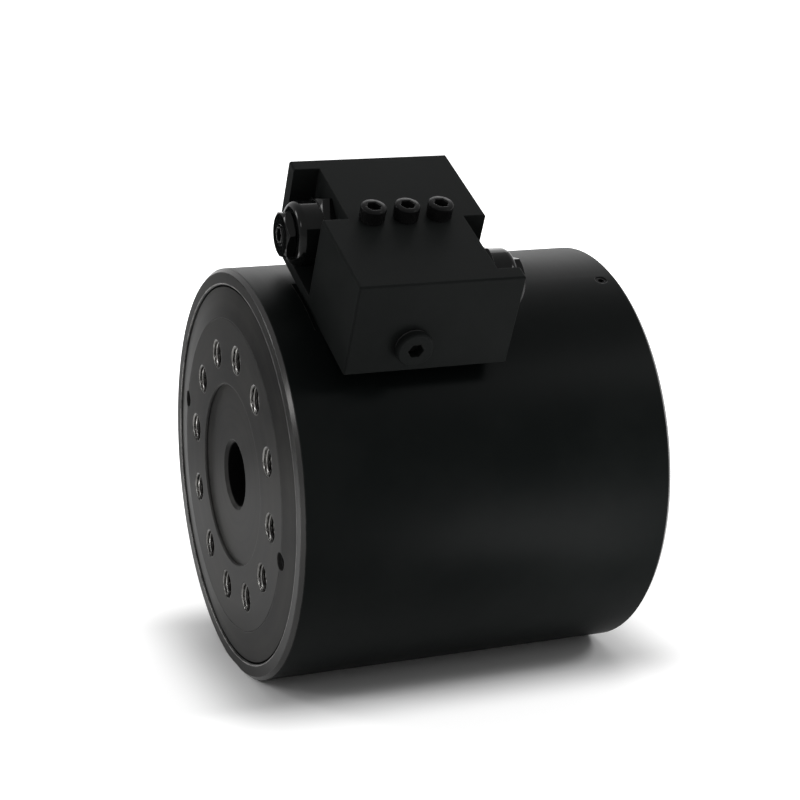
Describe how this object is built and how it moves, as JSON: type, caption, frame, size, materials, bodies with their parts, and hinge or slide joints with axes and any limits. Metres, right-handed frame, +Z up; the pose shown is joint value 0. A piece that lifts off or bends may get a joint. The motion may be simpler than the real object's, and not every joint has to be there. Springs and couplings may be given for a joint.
{
  "type": "hydraulic rotary actuator",
  "caption": "Compact hydraulic rotary actuator: a round housing with a helical-spline piston, a hollow output flange with tapped holes, and a relief valve block on its side.",
  "frame": {"origin": "on the turning axis, in the plane of the output face", "axes": "-Y points out of the output face along the turning axis, +Z is up, away from the base pad, and the valve block leans towards +X"},
  "size_m": [0.1743, 0.158, 0.2105],
  "materials": {
    "black_coat": "satin black coating on steel",
    "black_oxide": "black oxide over machined steel",
    "steel": "oiled machined steel",
    "bronze": "turned bearing bronze",
    "rubber": "matte black nitrile",
    "guide_plastic": "filled bearing plastic"
  },
  "bodies": {
    "stator": {"housing": "black_coat", "grease_plug": "black_oxide", "gallery_plugs": "steel", "front_thrust_washer": "bronze", "rear_thrust_washer": "bronze", "ring_gear": "steel", "valve_block": "black_coat", "block_screws": "black_oxide", "block_orings": "rubber", "port_plug": "black_oxide", "port_plug_washer": "rubber", "front_cartridge": "black_oxide", "front_lock_nut": "black_oxide", "front_adjuster": "black_oxide", "front_cartridge_orings": "rubber", "rear_cartridge": "black_oxide", "rear_lock_nut": "black_oxide", "rear_adjuster": "black_oxide", "rear_cartridge_orings": "rubber"},
    "rotor": {"shaft": "black_oxide", "front_cap_ring": "black_oxide", "front_lock_screws": "black_oxide", "front_dust_wiper": "rubber", "front_shaft_seal": "rubber", "front_guide_ring": "guide_plastic", "rear_cap": "black_oxide", "rear_lock_screws": "black_oxide", "rear_dust_wiper": "rubber", "rear_shaft_seal": "rubber", "rear_guide_ring": "guide_plastic", "front_cap_oring": "rubber", "rear_cap_oring": "rubber"},
    "piston_carriage": {"piston_seal": "rubber", "piston_guide_ring": "guide_plastic"},
    "piston_body": {"piston": "steel", "piston_rod_seal": "rubber"},
    "front_relief": {"front_poppet": "steel", "front_spring": "steel"},
    "rear_relief": {"rear_poppet": "steel", "rear_spring": "steel"}
  },
  "joints": [
    {"name": "output_rotation", "type": "hinge", "parent": "stator", "child": "rotor", "pos_m": [0, 0, 0], "axis": [0, 1, 0], "range_deg": [-90, 90]},
    {"name": "piston_slide", "type": "slide", "parent": "stator", "child": "piston_carriage", "axis": [0, 1, 0], "range_m": [-0.018, 0.018]},
    {"name": "piston_turn", "type": "hinge", "parent": "piston_carriage", "child": "piston_body", "pos_m": [0, 0.08, 0], "axis": [0, 1, 0], "range_deg": [-36, 36]},
    {"name": "front_relief_lift", "type": "slide", "parent": "stator", "child": "front_relief", "axis": [0, -1, 0], "range_m": [0, 0.0015], "stiffness_N_per_m": 2000, "springref_m": -0.002},
    {"name": "rear_relief_lift", "type": "slide", "parent": "stator", "child": "rear_relief", "axis": [0, 1, 0], "range_m": [0, 0.0015], "stiffness_N_per_m": 2000, "springref_m": -0.002}
  ],
  "couplings": [
    {"joint": "piston_slide", "follows": "output_rotation", "m_per_rad": 0.011459},
    {"joint": "piston_turn", "follows": "output_rotation", "ratio": 0.4}
  ]
}
